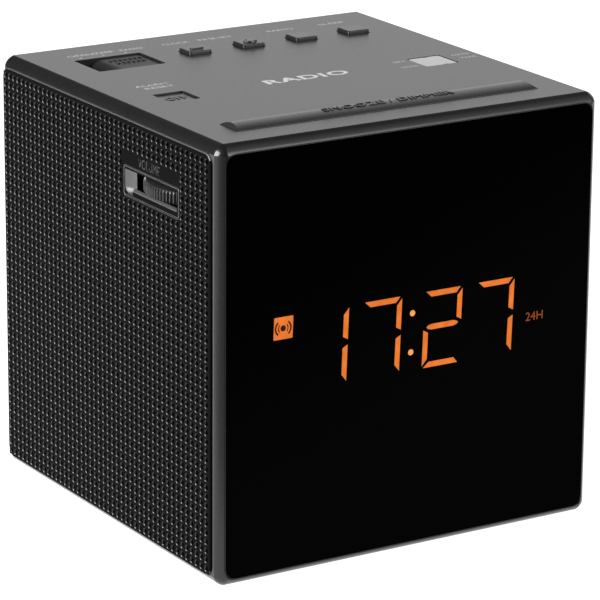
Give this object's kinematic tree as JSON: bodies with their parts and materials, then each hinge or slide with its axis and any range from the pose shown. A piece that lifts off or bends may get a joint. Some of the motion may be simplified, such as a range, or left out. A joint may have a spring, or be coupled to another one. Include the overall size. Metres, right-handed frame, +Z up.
{
  "type": "clock radio",
  "caption": "Cube-shaped mains clock radio: dark window with digital display, perforated side panels, thumbwheels, slide switches, top keys and a long snooze bar.",
  "frame": {"origin": "centre of the footprint on the surface that the feet stand on", "axes": "+Z up, -Y out of the display window towards the reader, +X to the reader's right"},
  "size_m": [0.0996, 0.1012, 0.1026],
  "materials": {
    "cabinet": "satin",
    "grille": "satin",
    "window": "gloss",
    "mask": "matte",
    "key": "satin",
    "grey_key": "satin",
    "wheel": "satin",
    "white_plastic": "matte",
    "board": "matte",
    "steel": "satin",
    "copper": "satin",
    "ferrite": "matte",
    "paper": "matte",
    "rubber": "matte",
    "sleeve": "gloss"
  },
  "bodies": {
    "cabinet": {"cabinet_shell": "cabinet", "side_panel_left": "grille", "side_panel_right": "grille", "rear_cover": "grille", "battery_door": "grille", "front_window": "window", "digit_diffuser": "window", "display_mask": "mask", "volume_bezel": "key", "tuning_bezel": "key", "digit_block": "white_plastic", "tuning_capacitor": "white_plastic", "aerial_holder_left": "white_plastic", "aerial_holder_right": "white_plastic", "battery_holder": "white_plastic", "control_board": "board", "main_board": "board", "display_board": "board", "volume_potentiometer": "steel", "alarm_switch_body": "steel", "band_switch_body": "steel", "speaker_basket": "steel", "coin_cell": "steel", "switch_minus": "steel", "switch_plus": "steel", "switch_radio": "steel", "switch_sleep": "steel", "switch_off": "steel", "switch_clock": "steel", "switch_snooze_left": "steel", "switch_snooze_right": "steel", "transformer_core": "steel", "rear_cover_screw_1": "steel", "rear_cover_screw_2": "steel", "rear_cover_screw_3": "steel", "rear_cover_screw_4": "steel", "battery_door_screw": "steel", "transformer_winding": "copper", "aerial_coil": "copper", "speaker_magnet": "ferrite", "ferrite_rod": "ferrite", "foot_1": "rubber", "foot_2": "rubber", "foot_3": "rubber", "foot_4": "rubber", "mains_lead_gland": "rubber", "aerial_wire_gland": "rubber", "smoothing_capacitor": "sleeve"},
    "key_minus": {"key_minus": "key"},
    "key_plus": {"key_plus": "key"},
    "key_radio": {"key_radio": "key"},
    "key_sleep": {"key_sleep": "key"},
    "key_off": {"key_off": "key"},
    "key_clock": {"key_clock": "grey_key"},
    "snooze_bar": {"snooze_bar": "key"},
    "alarm_switch_knob": {"alarm_switch_knob": "key"},
    "band_switch_knob": {"band_switch_knob": "key"},
    "volume_wheel": {"volume_wheel": "wheel"},
    "tuning_wheel": {"tuning_wheel": "wheel"},
    "speaker_cone": {"speaker_cone": "paper"}
  },
  "joints": [
    {"name": "key_minus_press", "type": "slide", "parent": "cabinet", "child": "key_minus", "axis": [0, 0, -1], "range_m": [0, 0.0006], "stiffness_N_per_m": 500, "springref_m": -0.001},
    {"name": "key_plus_press", "type": "slide", "parent": "cabinet", "child": "key_plus", "axis": [0, 0, -1], "range_m": [0, 0.0006], "stiffness_N_per_m": 500, "springref_m": -0.001},
    {"name": "key_radio_press", "type": "slide", "parent": "cabinet", "child": "key_radio", "axis": [0, 0, -1], "range_m": [0, 0.0006], "stiffness_N_per_m": 500, "springref_m": -0.001},
    {"name": "key_sleep_press", "type": "slide", "parent": "cabinet", "child": "key_sleep", "axis": [0, 0, -1], "range_m": [0, 0.0006], "stiffness_N_per_m": 500, "springref_m": -0.001},
    {"name": "key_off_press", "type": "slide", "parent": "cabinet", "child": "key_off", "axis": [0, 0, -1], "range_m": [0, 0.0006], "stiffness_N_per_m": 500, "springref_m": -0.001},
    {"name": "key_clock_press", "type": "slide", "parent": "cabinet", "child": "key_clock", "axis": [0, 0, -1], "range_m": [0, 0.0006], "stiffness_N_per_m": 500, "springref_m": -0.001},
    {"name": "snooze_bar_press", "type": "slide", "parent": "cabinet", "child": "snooze_bar", "axis": [0, 0, -1], "range_m": [0, 0.0006], "stiffness_N_per_m": 900, "springref_m": -0.001},
    {"name": "alarm_switch_slide", "type": "slide", "parent": "cabinet", "child": "alarm_switch_knob", "axis": [1, 0, 0], "range_m": [-0.004, 0]},
    {"name": "band_switch_slide", "type": "slide", "parent": "cabinet", "child": "band_switch_knob", "axis": [0, 1, 0], "range_m": [-0.004, 0]},
    {"name": "volume_wheel_turn", "type": "hinge", "parent": "cabinet", "child": "volume_wheel", "pos_m": [-0.0355, -0.0222, 0.083], "axis": [0, 0, 1], "range_deg": [-140, 140]},
    {"name": "tuning_wheel_turn", "type": "hinge", "parent": "cabinet", "child": "tuning_wheel", "pos_m": [0.0355, -0.0222, 0.083], "axis": [0, 0, 1], "range_deg": [-90, 90]},
    {"name": "speaker_cone_travel", "type": "slide", "parent": "cabinet", "child": "speaker_cone", "axis": [1, 0, 0], "range_m": [-0.0005, 0.0005], "stiffness_N_per_m": 1000}
  ]
}
